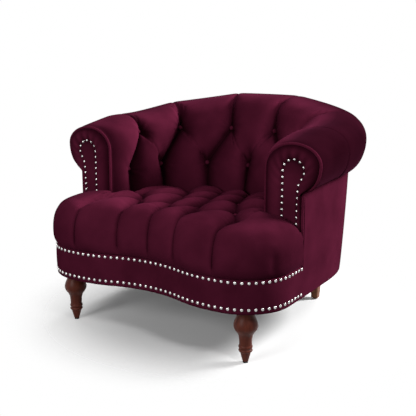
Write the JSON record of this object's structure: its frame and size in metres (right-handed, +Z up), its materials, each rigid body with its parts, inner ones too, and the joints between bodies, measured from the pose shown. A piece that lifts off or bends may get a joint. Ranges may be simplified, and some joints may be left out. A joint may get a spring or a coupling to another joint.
{
  "type": "tufted accent chair",
  "caption": "Low rolled-arm tub chair in plum velvet with a button-tufted back and seat, serpentine front, nailhead trim, turned front legs and plain rear legs.",
  "frame": {"origin": "on the floor, midway between the outermost points of the part from left to right and from front to back", "axes": "+X from the left arm to the right arm as seen from the front, +Y from the front to the back, +Z up"},
  "size_m": [0.9604, 0.8905, 0.7303],
  "materials": {
    "velvet": "plum velvet with a short pile",
    "foam": "soft upholstery foam",
    "burlap": "coarse jute cloth",
    "webbing": "woven jute straps",
    "frame_wood": "sawn hardwood",
    "turned_wood": "satin cherry stain",
    "plain_wood": "satin brown stain",
    "nail_metal": "bright pewter domes",
    "bolt_steel": "zinc plated",
    "glide_plastic": "black moulded plastic",
    "dust_cloth": "black non-woven cloth"
  },
  "bodies": {
    "root": {"arm_facing_left": "velvet", "arm_facing_right": "velvet", "arm_post_left": "frame_wood", "arm_post_right": "frame_wood", "arm_roll_foam_left": "foam", "arm_roll_foam_right": "foam", "arm_sheet_left": "burlap", "arm_sheet_right": "burlap", "arm_top_rail_left": "frame_wood", "arm_top_rail_right": "frame_wood", "arm_welt_left": "velvet", "arm_welt_right": "velvet", "back_buttons": "velvet", "back_posts": "frame_wood", "back_roll_foam": "foam", "back_sheet": "burlap", "back_top_rail": "frame_wood", "corner_blocks": "frame_wood", "cross_straps": "webbing", "dust_cover": "dust_cloth", "facing_nails_left": "nail_metal", "facing_nails_right": "nail_metal", "front_border": "velvet", "front_leg_left": "turned_wood", "front_leg_right": "turned_wood", "front_rail": "frame_wood", "inside_arm_left": "velvet", "inside_arm_right": "velvet", "inside_back": "velvet", "inside_wing_left": "velvet", "inside_wing_right": "velvet", "leg_bolts": "bolt_steel", "leg_glides": "glide_plastic", "long_straps": "webbing", "lower_nails": "nail_metal", "outside_arm_left": "velvet", "outside_arm_right": "velvet", "outside_back": "velvet", "rear_leg_left": "plain_wood", "rear_leg_right": "plain_wood", "rear_rail": "frame_wood", "seat_buttons": "velvet", "seat_cover": "velvet", "seat_deck": "burlap", "seat_foam": "foam", "side_rail_left": "frame_wood", "side_rail_right": "frame_wood", "upper_nails": "nail_metal"}
  },
  "joints": []
}
